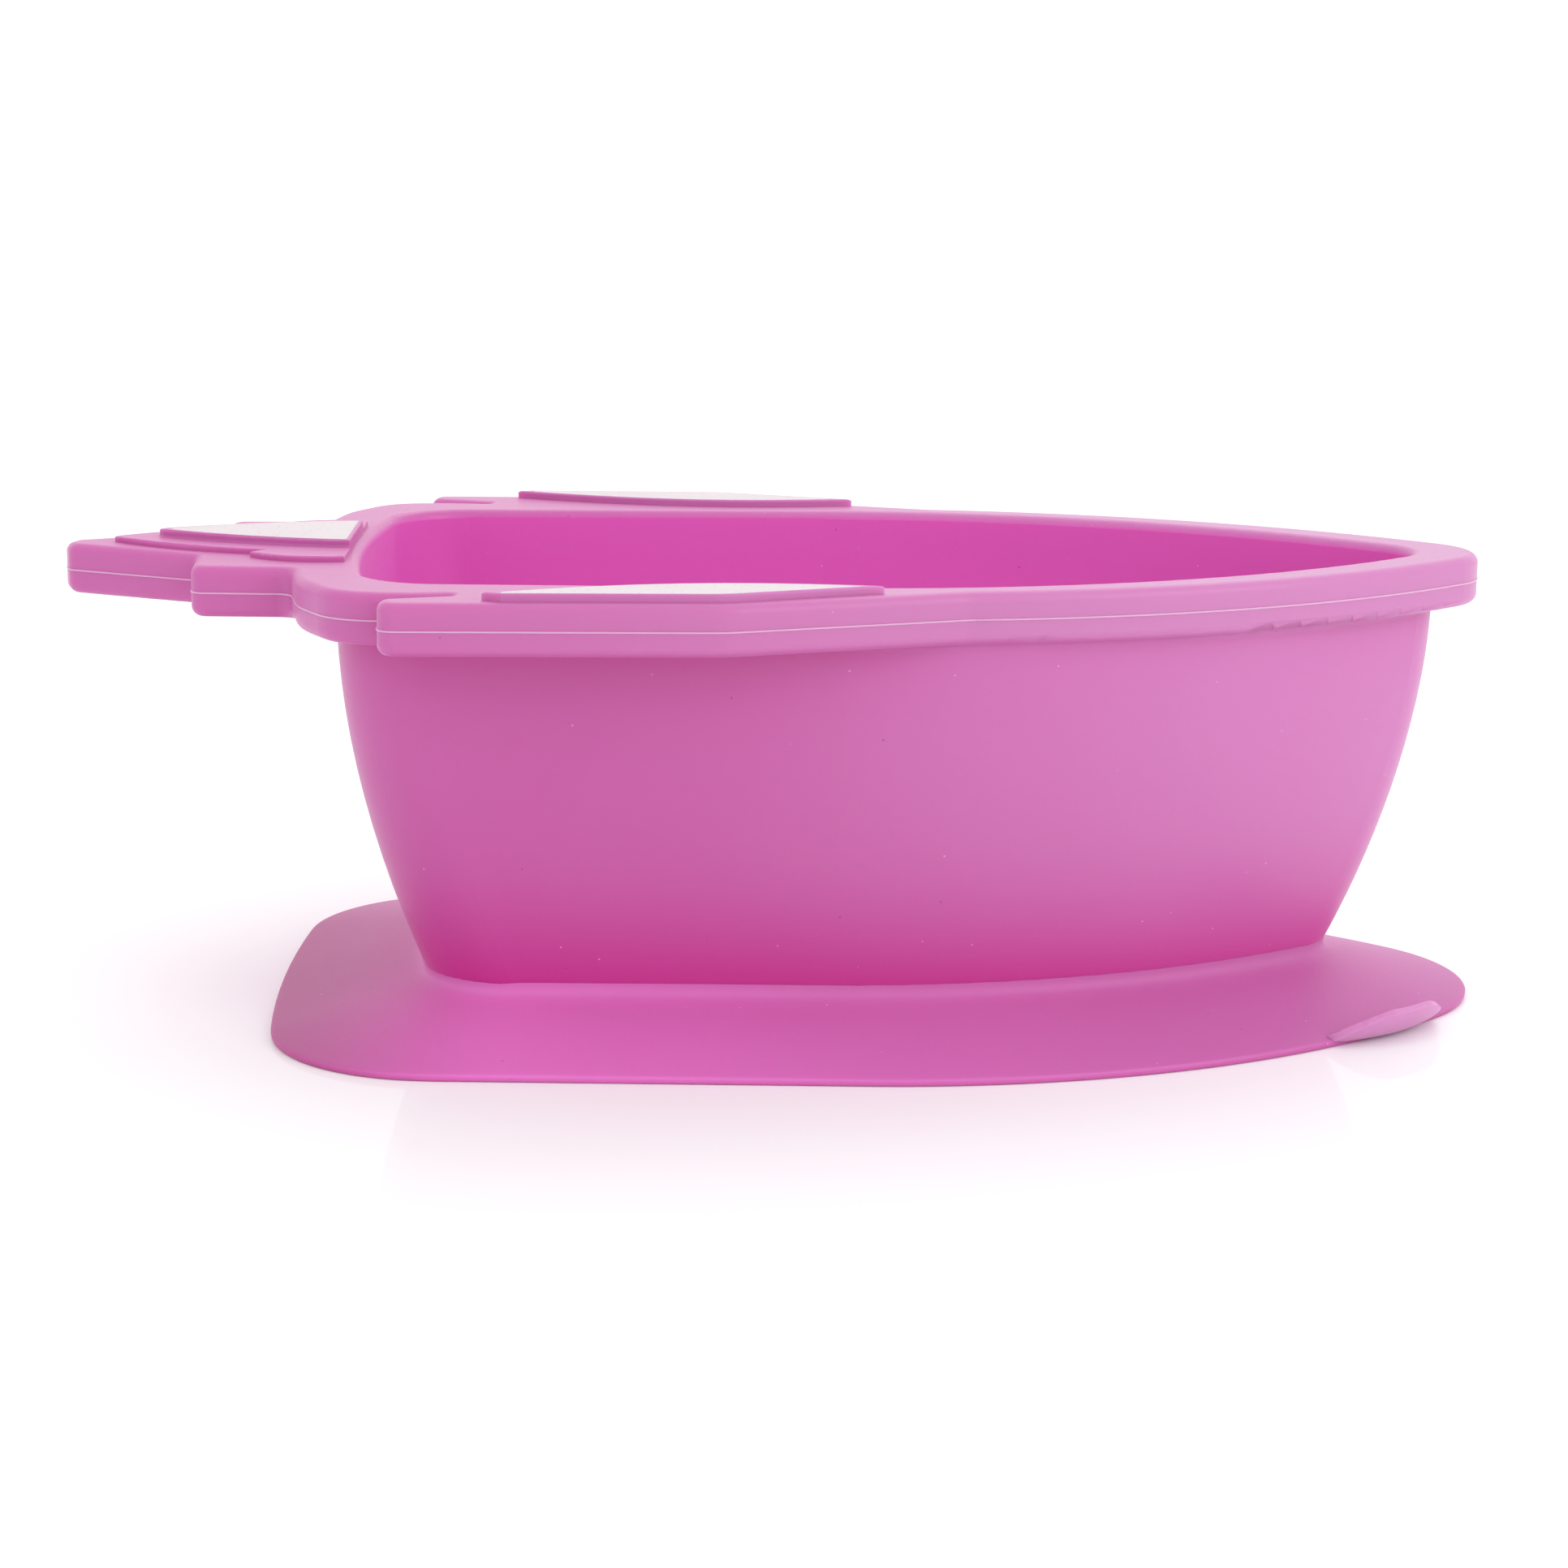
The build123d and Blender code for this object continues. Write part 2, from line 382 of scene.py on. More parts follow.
# ---------------------------------------------------------------- finishes
@dataclass(frozen=True)
class PinkSilicone:
    """Satin, slightly see-through pink silicone, with painted shade in its creases, its cavity, low
    down and, where set, at the tail, and painted light on its rim, its inside walls and its nose
    side.
    """

    name: str
    body: Colour = (0.53, 0.100, 0.355)
    # painted light: the nose side coloured lighter, where the key light falls
    nose_lighting: Colour = (0.58, 0.195, 0.465)  # towards the nose
    # painted shade: deeper pink in creases, in the cavity and low down
    painted_shade: Colour = (0.61, 0.014, 0.270)  # in creases and low down
    # painted light on the rim, lit through its thin silicone and glancing off its flats
    rim: Colour = (0.55, 0.215, 0.440)
    # painted bounce light: brighter, redder pink on the inside walls
    inside: Colour = (0.76, 0.125, 0.560)
    # painted shade at the tail end
    tail_shade: Colour = (0.36, 0.095, 0.235)
    dust: Colour = (0.80, 0.50, 0.70)
    fleck: Colour = (0.24, 0.03, 0.13)

    # each zone is the place where a tint starts and where it is full, in metres
    # painted light towards the nose: where it starts and is full, and how much
    nose_lighting_zone: Zone = (-0.05, 0.10)
    nose_lighting_tint: float = 0.8
    cloud_waves: float = 14.0
    cloud_tint: float = 0.5
    # painted light on the rim: where it starts and is full, and how much
    rim_light_zone: Zone = (0.0560, 0.0585)
    rim_light_tint: float = 0.12  # at the flames
    rim_light_nose_zone: Zone = (-0.09, 0.05)
    rim_light_more: float = 0.45  # added to that at the nose
    # painted shade at the tail: where it starts and is full, and how much
    tail_shade_zone: Zone = (-0.035, -0.072)
    tail_shade_tint: float = 0.0
    panel_zone: Zone = (0.0625, 0.0638)  # the raised panels stand above this
    # painted bounce light on the inside walls: where it starts and is full, and how much
    inside_bounce_zone: Zone = (-0.002, -0.014)
    inside_bounce_tint: float = 0.9
    # painted shade low down by the foot: where it is full and where it stops, and how much
    foot_shade_zone: Zone = (0.007, 0.030)
    foot_shade_tint: float = 0.26

    # painted shade in creases and in the cavity, by closeness
    crease_reach: float = 0.013
    crease_shade_tint: float = 0.9
    crease_curve: float = 1.5
    cavity_reach: float = 0.060
    cavity_shade_tint: float = 0.45
    cavity_curve: float = 2.0
    panel_shade: float = 0.15  # share of the crease tints that stays on the panels

    speck_radius: float = 0.030
    dust_cells: float = 230.0
    fleck_cells: float = 190.0
    fleck_shift: float = 0.013
    patch_waves: float = 60.0
    grain_waves: float = 1900.0
    grain_depth: float = 0.015 * MM
    swell_waves: float = 45.0
    swell_depth: float = 0.15 * MM

    gloss_rough: float = 0.38
    gloss_vary: float = 0.12
    refraction: float = 1.45
    scatter: float = 0.30
    scatter_depth: float = 0.0030
    scatter_colour: Colour = (1.0, 0.35, 0.7)
    sheen: float = 0.15
    sheen_rough: float = 0.35

    def make(self) -> bpy.types.Material:
        """Build the material.

        Returns:
            The finished material.
        """
        sheet = ShaderSheet(self.name)
        tone = self._specked(sheet, self._toned(sheet))
        grain = sheet.noise(self.grain_waves, 3.0, 0.6)
        swell = sheet.bump(sheet.noise(self.swell_waves, 1.0), self.swell_depth)
        shader = sheet.node(
            "BsdfPrincipled",
            {"subsurface_method": "RANDOM_WALK"},
            {
                "Base Color": tone,
                "Roughness": self.gloss_rough + (grain - 0.5) * self.gloss_vary,
                "IOR": self.refraction,
                "Subsurface Weight": self.scatter,
                "Subsurface Radius": self.scatter_colour,
                "Subsurface Scale": self.scatter_depth,
                "Sheen Weight": self.sheen,
                "Sheen Roughness": self.sheen_rough,
                "Normal": sheet.bump(grain, self.grain_depth, swell),
            },
        )
        return sheet.close(shader.outputs[0])

    def _toned(self, sheet: ShaderSheet) -> bpy.types.NodeSocket:
        """Lay the silicone's tints over each other: painted light and shade by place and by
        closeness, over a random cloud of tone.

        Args:
            sheet: The material's sheet.

        Returns:
            The colour's socket.
        """
        cloud = (sheet.noise(self.cloud_waves) - 0.5) * self.cloud_tint
        # painted light towards the nose, with a random cloud of tone laid over it
        nose_lighting_and_cloud = sheet.along(0, *self.nose_lighting_zone) * self.nose_lighting_tint + cloud
        tone = sheet.mix(nose_lighting_and_cloud, self.body, self.nose_lighting)
        # painted light on the rim, more of it towards the nose
        rim_light_share = sheet.along(0, *self.rim_light_nose_zone) * self.rim_light_more + self.rim_light_tint
        tone = sheet.mix(sheet.height(*self.rim_light_zone) * rim_light_share, tone, self.rim)
        # painted shade at the tail
        tone = sheet.mix(sheet.along(0, *self.tail_shade_zone) * self.tail_shade_tint, tone, self.tail_shade)
        below_panels = 1.0 - sheet.height(*self.panel_zone)
        # painted bounce light on the inside walls, below the panels
        inside_bounce_share = sheet.facing_in(*self.inside_bounce_zone) * below_panels
        tone = sheet.mix(inside_bounce_share * self.inside_bounce_tint, tone, self.inside)
        # painted shade in creases and in the cavity, weaker on the raised panels
        crease_shade = (sheet.crease(self.crease_reach) * self.crease_shade_tint) ** self.crease_curve
        cavity_shade = (sheet.crease(self.cavity_reach) ** self.cavity_curve) * self.cavity_shade_tint
        stays = below_panels * (1.0 - self.panel_shade) + self.panel_shade
        occlusion_shade = (crease_shade + cavity_shade) * stays
        # painted shade low down by the foot; all the painted shade mixes towards the painted shade
        # colour
        low = (1.0 - sheet.height(*self.foot_shade_zone)) * self.foot_shade_tint
        return sheet.mix(occlusion_shade + low, tone, self.painted_shade)

    def _specked(self, sheet: ShaderSheet, tone: bpy.types.NodeSocket) -> bpy.types.NodeSocket:
        """Scatter pale dust and dark flecks over a colour, in patches.

        Args:
            sheet: The material's sheet.
            tone: The colour's socket.

        Returns:
            The colour's socket, with its specks.
        """
        patch = sheet.noise(self.patch_waves, 1.0)
        dust = sheet.specks(self.dust_cells, self.speck_radius, 0.0)
        flecks = sheet.specks(self.fleck_cells, self.speck_radius, self.fleck_shift)
        return sheet.mix(flecks * patch, sheet.mix(dust * patch, tone, self.dust), self.fleck)


@dataclass(frozen=True)
class WhiteSilicone:
    """Matt white silicone of the inlays, with fine grey dust caught in its grain and painted shade
    along its edges.
    """

    name: str
    body: Colour = (0.70, 0.63, 0.655)
    # grey for a random mottle of tone and for painted shade along the edges
    shade: Colour = (0.58, 0.48, 0.53)
    dust: Colour = (0.42, 0.36, 0.39)
    mottle_waves: float = 120.0
    mottle_tint: float = 0.35
    dust_cells: float = 900.0
    dust_radius: float = 0.20
    dust_waves: float = 300.0
    dust_tint: float = 0.9
    # painted shade along the inlays' edges and creases
    edge_shade_reach: float = 0.9 * MM
    edge_shade_tint: float = 0.5
    grain_waves: float = 2400.0
    grain_depth: float = 0.04 * MM
    gloss_rough: float = 0.5
    gloss_vary: float = 0.2
    refraction: float = 1.41
    scatter: float = 0.2
    scatter_depth: float = 1.0 * MM
    scatter_colour: Colour = (1.0, 0.8, 0.9)

    def make(self) -> bpy.types.Material:
        """Build the material.

        Returns:
            The finished material.
        """
        sheet = ShaderSheet(self.name)
        mottled = sheet.noise(self.mottle_waves, 3.0) * self.mottle_tint
        tone = sheet.mix(mottled, self.body, self.shade)
        dusty = sheet.specks(self.dust_cells, self.dust_radius, 0.0) * sheet.noise(self.dust_waves)
        tone = sheet.mix(dusty * self.dust_tint, tone, self.dust)
        # painted shade along the inlays' edges and creases, by closeness
        tone = sheet.mix(sheet.crease(self.edge_shade_reach) * self.edge_shade_tint, tone, self.shade)
        grain = sheet.noise(self.grain_waves, 3.0, 0.6)
        shader = sheet.node(
            "BsdfPrincipled",
            {},
            {
                "Base Color": tone,
                "Roughness": self.gloss_rough + (grain - 0.5) * self.gloss_vary,
                "IOR": self.refraction,
                "Subsurface Weight": self.scatter,
                "Subsurface Radius": self.scatter_colour,
                "Subsurface Scale": self.scatter_depth,
                "Normal": sheet.bump(grain, self.grain_depth),
            },
        )
        return sheet.close(shader.outputs[0])


@dataclass(frozen=True)
class StudioWhite:
    """Plain pale studio floor with a faint, soft mirror image."""

    name: str = "studio_white"
    tone: Colour = (0.96, 0.99, 0.975)
    mirror: float = 0.085
    mirror_rough: float = 0.04

    def make(self) -> bpy.types.Material:
        """Build the material.

        Returns:
            The finished material.
        """
        sheet = ShaderSheet(self.name)
        matt = sheet.node("BsdfDiffuse", {}, {"Color": self.tone})
        mirror = sheet.node(
            "BsdfAnisotropic", {}, {"Color": (1.0, 1.0, 1.0), "Roughness": self.mirror_rough}
        )
        both = sheet.node(
            "MixShader", {}, {0: self.mirror, 1: matt.outputs[0], 2: mirror.outputs[0]}
        )
        return sheet.close(both.outputs[0])


# ---------------------------------------------------------------- modelling tools
class Bench:
    """The hand moves that every piece is modelled with."""

    @staticmethod
    def clear() -> None:
        """Deselect everything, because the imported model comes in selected."""
        bpy.ops.object.select_all(action="DESELECT")

    @classmethod
    def hold(cls, *pieces: bpy.types.Object) -> bpy.types.Object:
        """Select these pieces only, the first one active, and return it."""
        cls.clear()
        for piece in pieces:
            piece.select_set(True)
        bpy.context.view_layer.objects.active = pieces[0]
        return pieces[0]

    @classmethod
    def copy_node(cls, node: str, name: str) -> bpy.types.Object:
        """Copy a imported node's mesh as a new piece, its loose triangles merged.

        Args:
            node: The node's name.
            name: The new piece's name.

        Returns:
            The new piece.
        """
        piece = bpy.data.objects.new(name, frame["nodes"][node].data.copy())
        piece.data.materials.clear()
        bpy.context.scene.collection.objects.link(piece)
        cls.hold(piece)
        bpy.ops.object.mode_set(mode="EDIT")
        bpy.ops.mesh.select_all(action="SELECT")
        bpy.ops.mesh.remove_doubles(threshold=0.001 * MM)
        bpy.ops.object.mode_set(mode="OBJECT")
        return piece

    @staticmethod
    def choose(piece: bpy.types.Object, test: Callable[[Vector], bool]) -> None:
        """In edit mode, select the vertices that pass a test.

        Args:
            piece: The piece in edit mode.
            test: Takes a vertex's place and says whether to select it.
        """
        bpy.ops.mesh.select_all(action="DESELECT")
        net = bmesh.from_edit_mesh(piece.data)
        for vertex in net.verts:
            vertex.select = test(vertex.co)
        net.select_flush(True)
        net.select_flush(False)
        bmesh.update_edit_mesh(piece.data)

    @classmethod
    def finish_with(cls, piece: bpy.types.Object, kind: str, **settings: Any) -> None:
        """Add a modifier and apply it.

        Args:
            piece: The piece to change.
            kind: The modifier's type.
            **settings: The modifier's settings.
        """
        cls.hold(piece)
        modifier = piece.modifiers.new(kind.lower(), kind)
        for key, setting in settings.items():
            setattr(modifier, key, setting)
        bpy.ops.object.modifier_apply(modifier=modifier.name)

    @classmethod
    def round_edges(cls, piece: bpy.types.Object, width: float) -> None:
        """Round a piece's hard edges.

        Args:
            piece: The piece to change.
            width: The rounding's width, in metres.
        """
        cls.finish_with(
            piece, "BEVEL", limit_method="ANGLE", angle_limit=HARD_EDGE, width=width, segments=3
        )

    @classmethod
    def settle(cls, piece: bpy.types.Object, angle: float) -> None:
        """Apply a piece's place, point its faces outwards and smooth them.

        Args:
            piece: The piece to finish.
            angle: Edges sharper than this stay crisp, in radians.
        """
        cls.hold(piece)
        bpy.ops.object.transform_apply(location=True, rotation=True, scale=True)
        bpy.ops.object.mode_set(mode="EDIT")
        bpy.ops.mesh.select_all(action="SELECT")
        bpy.ops.mesh.remove_doubles(threshold=0.002 * MM)
        bpy.ops.mesh.normals_make_consistent(inside=False)
        bpy.ops.object.mode_set(mode="OBJECT")
        bpy.ops.object.shade_smooth_by_angle(angle=angle)

    @staticmethod
    def dress(piece: bpy.types.Object, material: bpy.types.Material) -> None:
        """Give a piece one finish all over."""
        piece.data.materials.clear()
        piece.data.materials.append(material)


# ---------------------------------------------------------------- bowl and inlays
@dataclass
class Basin:
    """The moulded basin with its rim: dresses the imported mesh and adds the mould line."""

    finish: bpy.types.Material
    line_finish: bpy.types.Material
    rim_foot: float = 57.0 * MM
    rim_thick: float = 7.0 * MM
    line_level: float = 0.48  # the mould line's height as a share of the rim's thickness
    line_radius: float = 0.13 * MM
    line_fold: float = math.radians(60.0)
    nose_depth: float = 0.05 * MM  # the outer outline is the only one this near the nose's tip
    merge: float = 0.05 * MM

    def build(self) -> bpy.types.Object:
        """Dress the basin and model the mould line round its rim.

        Returns:
            The mould line's piece.
        """
        node = frame["nodes"]["bowl_shell"]
        Bench.dress(node, self.finish)
        return self._mould_line()

    def _mould_line(self) -> bpy.types.Object:
        """Cut the rim's outline out of a copy and make it a fine raised bead.

        Returns:
            The bead's piece.
        """
        level = self.rim_foot + self.line_level * self.rim_thick
        bead = Bench.copy_node("bowl_shell", "rim_mould_line")
        bpy.ops.object.mode_set(mode="EDIT")
        bpy.ops.mesh.select_all(action="SELECT")
        bpy.ops.mesh.bisect(
            plane_co=(0.0, 0.0, level), plane_no=(0.0, 0.0, 1.0), clear_inner=True, clear_outer=True
        )
        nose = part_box("bowl_shell")[1].x - self.nose_depth
        Bench.choose(bead, lambda place: place.x > nose)
        bpy.ops.mesh.select_linked()
        bpy.ops.mesh.select_all(action="INVERT")
        bpy.ops.mesh.delete(type="VERT")
        bpy.ops.mesh.select_all(action="SELECT")
        bpy.ops.mesh.remove_doubles(threshold=self.merge)
        bpy.ops.object.mode_set(mode="OBJECT")
        bpy.ops.object.convert(target="CURVE")
        bead = bpy.context.object
        bead.data.dimensions = "3D"
        bead.data.bevel_depth = self.line_radius
        bead.data.bevel_resolution = 1
        bpy.ops.object.convert(target="MESH")
        bead = bpy.context.object
        bead.name = "rim_mould_line"
        Bench.settle(bead, self.line_fold)
        Bench.dress(bead, self.line_finish)
        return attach(bead, Body.BOWL.value)


@dataclass
class Inlays:
    """The three white inlays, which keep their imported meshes."""

    finish: bpy.types.Material
    nodes: tuple[str, ...] = ("flame_inlay", "fin_inlay_left", "fin_inlay_right")

    def build(self) -> list[bpy.types.Object]:
        """Dress each inlay.

        Returns:
            The inlays.
        """
        made = []
        for name in self.nodes:
            node = frame["nodes"][name]
            Bench.dress(node, self.finish)
            made.append(node)
        return made


# ---------------------------------------------------------------- suction skirt
@dataclass(frozen=True)
class Ring:
    """A level line of the skirt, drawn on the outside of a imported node."""

    node: str
    height: float
    out: float = 0.0


@dataclass
class SuctionSkirt:
    """The soft flange that is drawn from the basin's wall out to its sealing lip."""

    finish: bpy.types.Material
    divisions: int = 192
    thick: float = 1.0 * MM
    under_level: float = 0.32 * MM  # what ends lower than this is the flat sealing lip
    edge_round: float = 0.36 * MM
    clear_of: float = 25.0 * MM  # each ring starts this far outside the skirt
    hoop_high: float = 0.1 * MM  # half the height of the hoop that becomes a ring
    ring_slack: float = 0.01 * MM
    flex_top: float = 5.5 * MM
    flex_low: float = 1.2 * MM
    rings: tuple[Ring, ...] = (
        Ring("bowl_shell", 9.2 * MM, -0.30 * MM),
        Ring("bowl_shell", 7.6 * MM, 0.12 * MM),
        Ring("bowl_shell", 6.2 * MM, 0.95 * MM),
        Ring("suction_skirt", 5.2 * MM),
        Ring("suction_skirt", 4.4 * MM),
        Ring("suction_skirt", 3.0 * MM),
        Ring("suction_skirt", 1.7 * MM),
        Ring("suction_skirt", 0.98 * MM),
    )

    def build(self) -> bpy.types.Object:
        """Model the skirt between bowl and lip.

        Returns:
            The skirt's piece.
        """
        drawn = [self._draw(ring) for ring in self.rings]
        skirt = Bench.hold(*drawn)
        bpy.ops.object.join()
        skirt.name = "suction_flange"
        bpy.ops.object.mode_set(mode="EDIT")
        for upper, lower in zip(self.rings, self.rings[1:]):
            pair = (upper.height, lower.height)
            Bench.choose(
                skirt, lambda place: min(abs(place.z - z) for z in pair) < self.ring_slack
            )
            bpy.ops.mesh.bridge_edge_loops()
        bpy.ops.mesh.select_all(action="SELECT")
        bpy.ops.mesh.normals_make_consistent(inside=False)
        bpy.ops.object.mode_set(mode="OBJECT")
        Bench.finish_with(skirt, "SUBSURF", levels=2, render_levels=2)
        self._thicken(skirt)
        Bench.settle(skirt, SOFT_FOLD)
        Bench.dress(skirt, self.finish)
        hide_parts("suction_skirt")
        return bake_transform(skirt)

    def _draw(self, ring: Ring) -> bpy.types.Object:
        """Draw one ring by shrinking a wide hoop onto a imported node.

        Args:
            ring: The ring's node, height and distance outside the node's face.

        Returns:
            The ring, as one closed loop of edges.
        """
        low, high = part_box("suction_skirt")
        middle, half = (low + high) / 2, (high - low) / 2
        Bench.clear()
        bpy.ops.mesh.primitive_cylinder_add(
            vertices=self.divisions,
            radius=1.0,
            depth=2 * self.hoop_high,
            end_fill_type="NOTHING",
            location=(middle.x, middle.y, ring.height - self.hoop_high),
            scale=(half.x + self.clear_of, half.y + self.clear_of, 1.0),
        )
        hoop = bpy.context.object
        bpy.ops.object.transform_apply(location=True, rotation=True, scale=True)
        Bench.finish_with(
            hoop,
            "SHRINKWRAP",
            wrap_method="PROJECT",
            target=frame["nodes"][ring.node],
            use_negative_direction=True,
            use_positive_direction=False,
            offset=ring.out,
        )
        bpy.ops.object.mode_set(mode="EDIT")
        Bench.choose(hoop, lambda place: place.z < ring.height - self.hoop_high)
        bpy.ops.mesh.delete(type="VERT")
        bpy.ops.object.mode_set(mode="OBJECT")
        return hoop

    def _thicken(self, skirt: bpy.types.Object) -> None:
        """Give the drawn sheet its thickness, a flat lip below and a rounded edge.

        Args:
            skirt: The sheet.
        """
        Bench.finish_with(skirt, "SOLIDIFY", thickness=self.thick, offset=-1.0)
        bpy.ops.object.mode_set(mode="EDIT")
        Bench.choose(skirt, lambda place: place.z < self.under_level)
        bpy.ops.transform.resize(value=(1.0, 1.0, 0.0), center_override=(0.0, 0.0, 0.0))
        bpy.ops.object.mode_set(mode="OBJECT")
        Bench.round_edges(skirt, self.edge_round)


# ---------------------------------------------------------------- release tab
@dataclass
class ReleaseTab:
    """The thin tongue on the lip that is lifted to break the suction."""

    finish: bpy.types.Material
    columns: int = 12
    thick: float = 1.0 * MM
    edge_round: float = 0.4 * MM
    sag: float = 2.3 * MM  # the lip's edge curves back this far at the tongue's ends
    towards_tail: float = 1.8 * MM  # from the middle of the hinge to the middle of the tongue
    still_flat: float = 1e-9  # a row that has yet to move is no higher than this
    bend_in: float = 0.6 * MM  # from the hinge line in to where the bend starts
    bend_out: float = 1.4 * MM
    # rows from the root under the skirt's skin to the free edge: outwards, up, half width
    rows: tuple[tuple[float, float, float], ...] = (
        (-5.0 * MM, 1.9 * MM, 8.0 * MM),
        (-2.6 * MM, 1.5 * MM, 9.8 * MM),
        (-0.8 * MM, 1.2 * MM, 10.6 * MM),
        (0.4 * MM, 1.6 * MM, 10.6 * MM),
        (1.3 * MM, 2.4 * MM, 10.0 * MM),
        (2.1 * MM, 3.4 * MM, 8.6 * MM),
        (2.7 * MM, 4.3 * MM, 6.4 * MM),
        (3.0 * MM, 5.0 * MM, 3.8 * MM),
    )

    def build(self) -> bpy.types.Object:
        """Model the tongue on its hinge line.

        Returns:
            The tab's piece.
        """
        joint = next(entry for entry in frame["joints"] if entry["name"] == "tab_lift")
        hinge, axis = Vector(joint["pos_m"]), Vector(joint["axis"])
        Bench.clear()
        bpy.ops.mesh.primitive_grid_add(
            x_subdivisions=self.columns, y_subdivisions=len(self.rows) - 1, size=2.0
        )
        tongue = bpy.context.object
        tongue.name = "release_tongue"
        bpy.ops.object.mode_set(mode="EDIT")
        self._shape_rows(tongue)
        self._curve_back(tongue)
        bpy.ops.object.mode_set(mode="OBJECT")
        Bench.finish_with(tongue, "SUBSURF", levels=3, render_levels=3)
        Bench.finish_with(tongue, "SOLIDIFY", thickness=self.thick, offset=-1.0)
        Bench.round_edges(tongue, self.edge_round)
        tongue.location = (hinge.x, hinge.y, 0.0)
        tongue.rotation_euler = (0.0, 0.0, math.atan2(axis.y, axis.x))
        Bench.settle(tongue, SOFT_FOLD)
        Bench.dress(tongue, self.finish)
        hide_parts("release_tab")
        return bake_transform(tongue)

    def _shape_rows(self, tongue: bpy.types.Object) -> None:
        """Draw each row of the flat grid to its width, and lift it to its place.

        Args:
            tongue: The grid in edit mode.
        """
        spacing = 2.0 / (len(self.rows) - 1)
        # the free edge goes first, so that no row lands on one that has yet to move
        for index in reversed(range(len(self.rows))):
            start = -1.0 + spacing * index
            out, up, half = self.rows[index]
            Bench.choose(
                tongue,
                lambda place: abs(place.y - start) < spacing / 8 and abs(place.z) < self.still_flat,
            )
            bpy.ops.transform.resize(value=(half, 1.0, 1.0), center_override=(0.0, start, 0.0))
            bpy.ops.transform.translate(value=(self.towards_tail, out - start, up))

    def _curve_back(self, tongue: bpy.types.Object) -> None:
        """Bow each row back at both ends, along the skirt's curved edge.

        Args:
            tongue: The shaped grid in edit mode.
        """
        widest = max(row[2] for row in self.rows)
        net = bmesh.from_edit_mesh(tongue.data)
        for vertex in net.verts:
            vertex.co.y -= self.sag * (vertex.co.x / widest) ** 2
        bmesh.update_edit_mesh(tongue.data)


# ---------------------------------------------------------------- studio
@dataclass(frozen=True)
class SoftBox:
    """One square soft light."""

    name: str
    place: tuple[float, float, float]
    size: float
    power: float
    colour: Colour = (1.0, 1.0, 1.0)


@dataclass
class Studio:
    """Pale floor, soft lights and the camera."""

    floor_finish: bpy.types.Material
    floor_size: float = 14.0
    sky: float = 1.08
    stand: tuple[float, float, float] = (-14.3 * MM, -484.0 * MM, 132.3 * MM)
    pan: float = 0.032
    down: float = 0.209
    roll: float = 0.011
    lens: float = 79.24
    sensor: float = 36.0
    boxes: tuple[SoftBox, ...] = (
        SoftBox("key_right", (0.9, -0.7, 0.6), 0.7, 3.0),
        SoftBox("top_back", (0.1, 0.7, 0.9), 0.8, 2.0),
    )

    def build(self) -> None:
        """Set the floor, the lights and the camera."""
        self._floor()
        self._sky()
        for box in self.boxes:
            self._light(box)
        self._camera()

    def _floor(self) -> None:
        """Lay the floor under the sealing lip."""
        Bench.clear()
        bpy.ops.mesh.primitive_plane_add(size=self.floor_size)
        floor = bpy.context.object
        floor.name = "studio_floor"
        Bench.dress(floor, self.floor_finish)
        floor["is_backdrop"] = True

    def _sky(self) -> None:
        """Light everything evenly from a white surround."""
        world = bpy.data.worlds.new("white_surround")
        bpy.context.scene.world = world
        world.use_nodes = True
        back = world.node_tree.nodes["Background"]
        back.inputs["Color"].default_value = (1.0, 1.0, 1.0, 1.0)
        back.inputs["Strength"].default_value = self.sky

    def _light(self, box: SoftBox) -> None:
        """Hang one soft light and aim it at the middle of the bowl.

        Args:
            box: The light's place, size and power.
        """
        low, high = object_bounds()
        Bench.clear()
        bpy.ops.object.light_add(type="AREA", location=box.place)
        lamp = bpy.context.object
        lamp.name = box.name
        lamp.data.shape = "SQUARE"
        lamp.data.size = box.size
        lamp.data.energy = box.power
        lamp.data.color = box.colour
        aim = (low + high) / 2 - lamp.location
        lamp.rotation_euler = aim.to_track_quat("-Z", "Y").to_euler()

    def _camera(self) -> None:
        """Stand the camera at the front, a little above the rim."""
        ahead = Vector(
            (
                math.sin(self.pan) * math.cos(self.down),
                math.cos(self.pan) * math.cos(self.down),
                -math.sin(self.down),
            )
        )
        level = Vector((math.cos(self.pan), -math.sin(self.pan), 0.0))
        upright = level.cross(ahead)
        right = level * math.cos(self.roll) + upright * math.sin(self.roll)
        up = upright * math.cos(self.roll) - level * math.sin(self.roll)
        Bench.clear()
        bpy.ops.object.camera_add()
        camera = bpy.context.object
        turn = Matrix((right, up, -ahead)).transposed().to_4x4()
        camera.matrix_world = Matrix.Translation(self.stand) @ turn
        camera.data.lens = self.lens
        camera.data.sensor_width = self.sensor
        bpy.context.scene.camera = camera
        bpy.context.scene.view_settings.view_transform = "Standard"


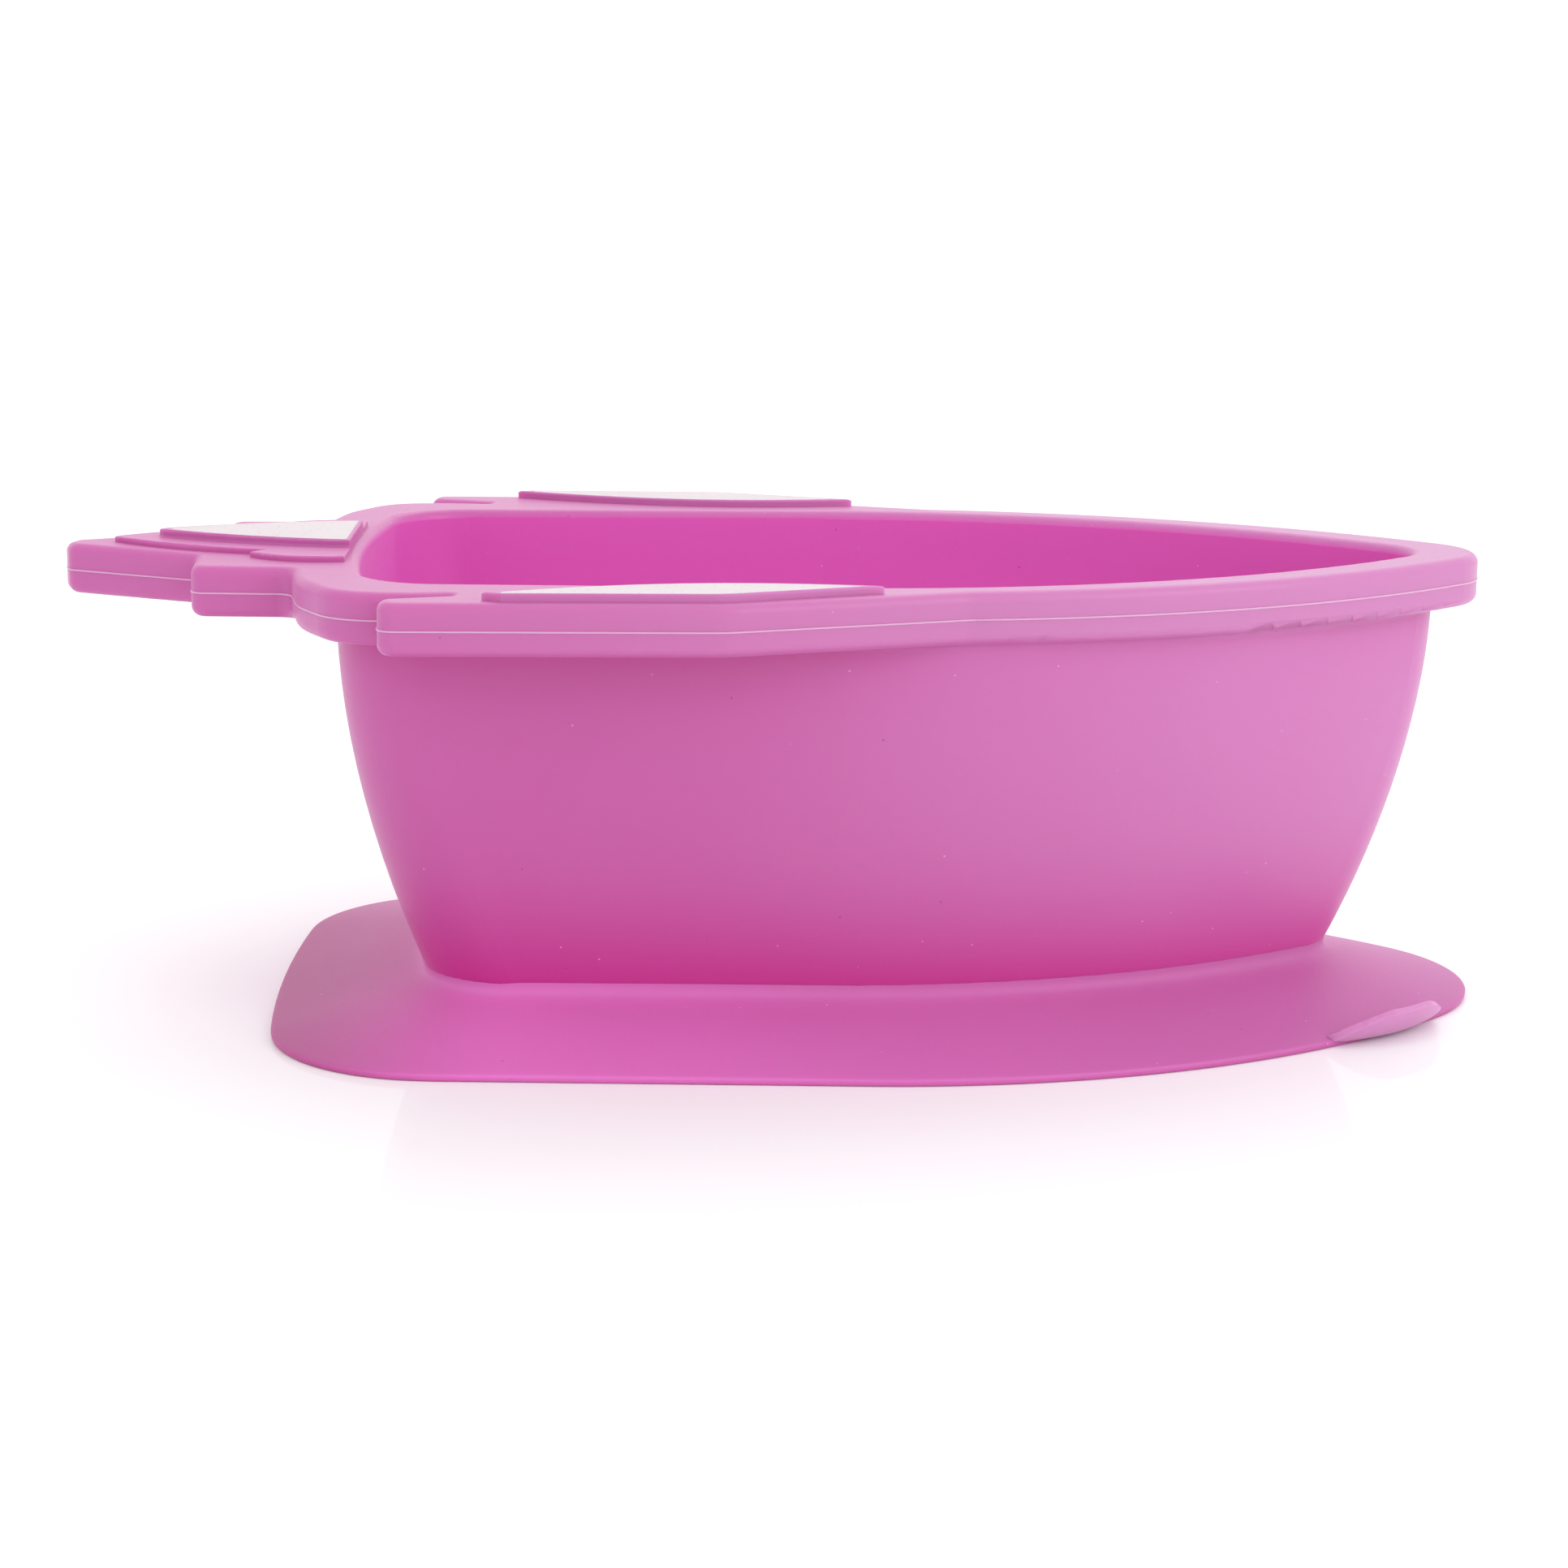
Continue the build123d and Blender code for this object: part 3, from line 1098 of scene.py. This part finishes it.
def main() -> None:
    """Build every piece in order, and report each."""
    logging.basicConfig(level=logging.INFO, format="%(name)s: %(message)s")
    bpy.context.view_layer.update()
    bowl_pink = PinkSilicone("pink_silicone_bowl").make()
    # a lit and shaded copy for the skirt: a brighter body against the shade under the bowl, painted
    # shade towards the nose and at the tail
    skirt_pink_lit_shaded = PinkSilicone(
        "pink_silicone_soft_lit_shaded",
        body=(0.74, 0.175, 0.545),
        nose_lighting=(0.46, 0.110, 0.325),
        tail_shade=(0.35, 0.050, 0.190),
        tail_shade_tint=0.85,
        inside_bounce_tint=0.0,
        foot_shade_tint=0.0,
        crease_shade_tint=0.45,
        cavity_shade_tint=0.12,
        gloss_rough=0.5,
        sheen=0.1,
    ).make()
    # a lit copy for the tab: a paler body against the shade its face is in
    tab_pink_lit = PinkSilicone(
        "pink_silicone_tab_lit",
        body=(0.59, 0.235, 0.480),
        nose_lighting=(0.59, 0.235, 0.480),
        inside_bounce_tint=0.0,
        foot_shade_tint=0.0,
        crease_shade_tint=0.0,
        cavity_shade_tint=0.0,
        gloss_rough=0.5,
    ).make()
    # a lit copy for the mould line: a paler body as a painted highlight along the bead
    line_pink_highlight = PinkSilicone(
        "pink_silicone_line_highlight",
        body=(0.80, 0.36, 0.66),
        nose_lighting=(0.85, 0.42, 0.72),
        rim_light_tint=0.0,
        rim_light_more=0.0,
        inside_bounce_tint=0.0,
        foot_shade_tint=0.0,
        crease_shade_tint=0.0,
        cavity_shade_tint=0.0,
    ).make()
    line = Basin(bowl_pink, line_pink_highlight).build()
    log.info("mould line: %d faces", len(line.data.polygons))
    for inlay in Inlays(WhiteSilicone("white_silicone_inlay").make()).build():
        log.info("inlay %s dressed", inlay.name)
    skirt = SuctionSkirt(skirt_pink_lit_shaded).build()
    log.info("skirt: %d faces", len(skirt.data.polygons))
    tab = ReleaseTab(tab_pink_lit).build()
    log.info("tab: %d faces", len(tab.data.polygons))
    Studio(StudioWhite().make()).build()


if __name__ == "__main__":
    main()
